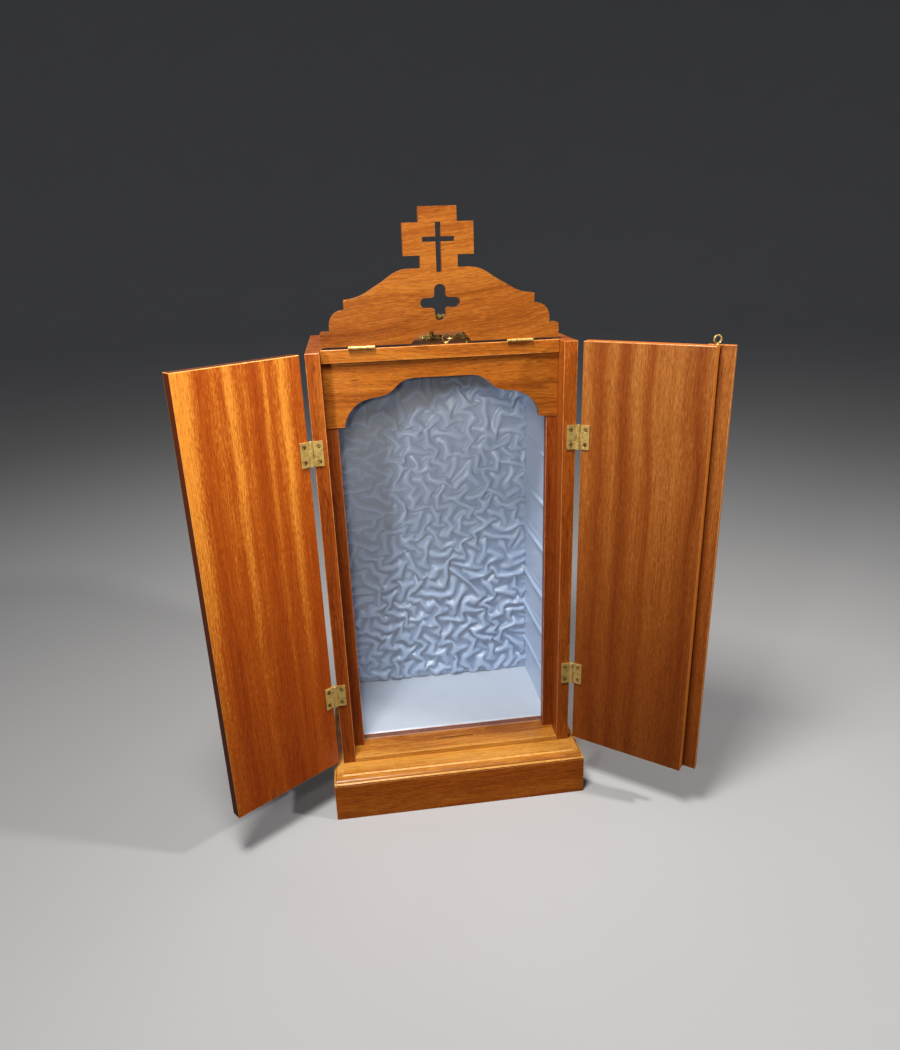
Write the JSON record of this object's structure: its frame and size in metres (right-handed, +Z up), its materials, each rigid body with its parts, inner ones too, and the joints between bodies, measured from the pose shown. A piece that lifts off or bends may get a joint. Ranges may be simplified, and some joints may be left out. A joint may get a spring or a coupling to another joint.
{
  "type": "household altar cabinet",
  "caption": "Lacquered wood altar cabinet on a moulded plinth, with hinged doors, a folding cross crest, a glazed niche lined with satin, a coin slot and a carrying handle.",
  "frame": {"origin": "centre of the plinth's underside", "axes": "+Z up the height of the cabinet, -Y out of the front, towards the viewer, +X to the viewer's right"},
  "size_m": [0.514, 0.2439, 0.6559],
  "materials": {
    "mahogany": "gloss lacquer",
    "ribbon_mahogany": "gloss lacquer over ribbon figure",
    "dark_mahogany": "dark stained, lacquered",
    "brass": "aged, lightly polished",
    "satin": "gathered satin cloth",
    "glass": "clear flat pane"
  },
  "bodies": {
    "cabinet": {"plinth_front": "mahogany", "plinth_left": "mahogany", "plinth_right": "mahogany", "plinth_back": "mahogany", "plinth_bottom": "dark_mahogany", "plinth_cap": "mahogany", "side_left": "mahogany", "side_right": "mahogany", "top_board": "mahogany", "back_panel": "dark_mahogany", "floor_board": "dark_mahogany", "sill": "mahogany", "stile_left": "dark_mahogany", "stile_right": "dark_mahogany", "header": "mahogany", "glass_pane": "glass", "lining_floor": "satin", "lining_back": "satin", "lining_left": "satin", "lining_right": "satin", "top_eye": "brass", "handle": "brass", "door_left_hinge_1_frame_leaf": "brass", "door_left_hinge_1_frame_screw_1": "brass", "door_left_hinge_1_frame_screw_2": "brass", "door_left_hinge_2_frame_leaf": "brass", "door_left_hinge_2_frame_screw_1": "brass", "door_left_hinge_2_frame_screw_2": "brass", "door_right_hinge_1_frame_leaf": "brass", "door_right_hinge_1_frame_screw_1": "brass", "door_right_hinge_1_frame_screw_2": "brass", "door_right_hinge_2_frame_leaf": "brass", "door_right_hinge_2_frame_screw_1": "brass", "door_right_hinge_2_frame_screw_2": "brass", "crest_hinge_1_top_leaf": "brass", "crest_hinge_2_top_leaf": "brass"},
    "door_left": {"door_left": "ribbon_mahogany", "door_left_hinge_1_door_leaf": "brass", "door_left_hinge_1_door_screw_1": "brass", "door_left_hinge_1_door_screw_2": "brass", "door_left_hinge_2_door_leaf": "brass", "door_left_hinge_2_door_screw_1": "brass", "door_left_hinge_2_door_screw_2": "brass"},
    "door_right": {"door_right": "ribbon_mahogany", "meeting_strip": "ribbon_mahogany", "door_eye": "brass", "door_right_hinge_1_door_leaf": "brass", "door_right_hinge_1_door_screw_1": "brass", "door_right_hinge_1_door_screw_2": "brass", "door_right_hinge_2_door_leaf": "brass", "door_right_hinge_2_door_screw_1": "brass", "door_right_hinge_2_door_screw_2": "brass"},
    "crest": {"crest": "mahogany", "crest_hinge_1_crest_leaf": "brass", "crest_hinge_2_crest_leaf": "brass"},
    "hook": {"hook": "brass"}
  },
  "joints": [
    {"name": "left_door_hinge", "type": "hinge", "parent": "cabinet", "child": "door_left", "pos_m": [-0.1373, -0.0652, 0.29225], "axis": [0, 0, 1], "range_deg": [-36, 144]},
    {"name": "right_door_hinge", "type": "hinge", "parent": "cabinet", "child": "door_right", "pos_m": [0.1373, -0.0652, 0.29225], "axis": [0, 0, 1], "range_deg": [-140, 40]},
    {"name": "crest_hinge", "type": "hinge", "parent": "cabinet", "child": "crest", "pos_m": [0, -0.047, 0.5287], "axis": [1, 0, 0], "range_deg": [0, 180]},
    {"name": "hook_pivot", "type": "hinge", "parent": "cabinet", "child": "hook", "pos_m": [0.0092, -0.0375, 0.5326], "axis": [0, 0, 1], "range_deg": [-22, 100]}
  ]
}
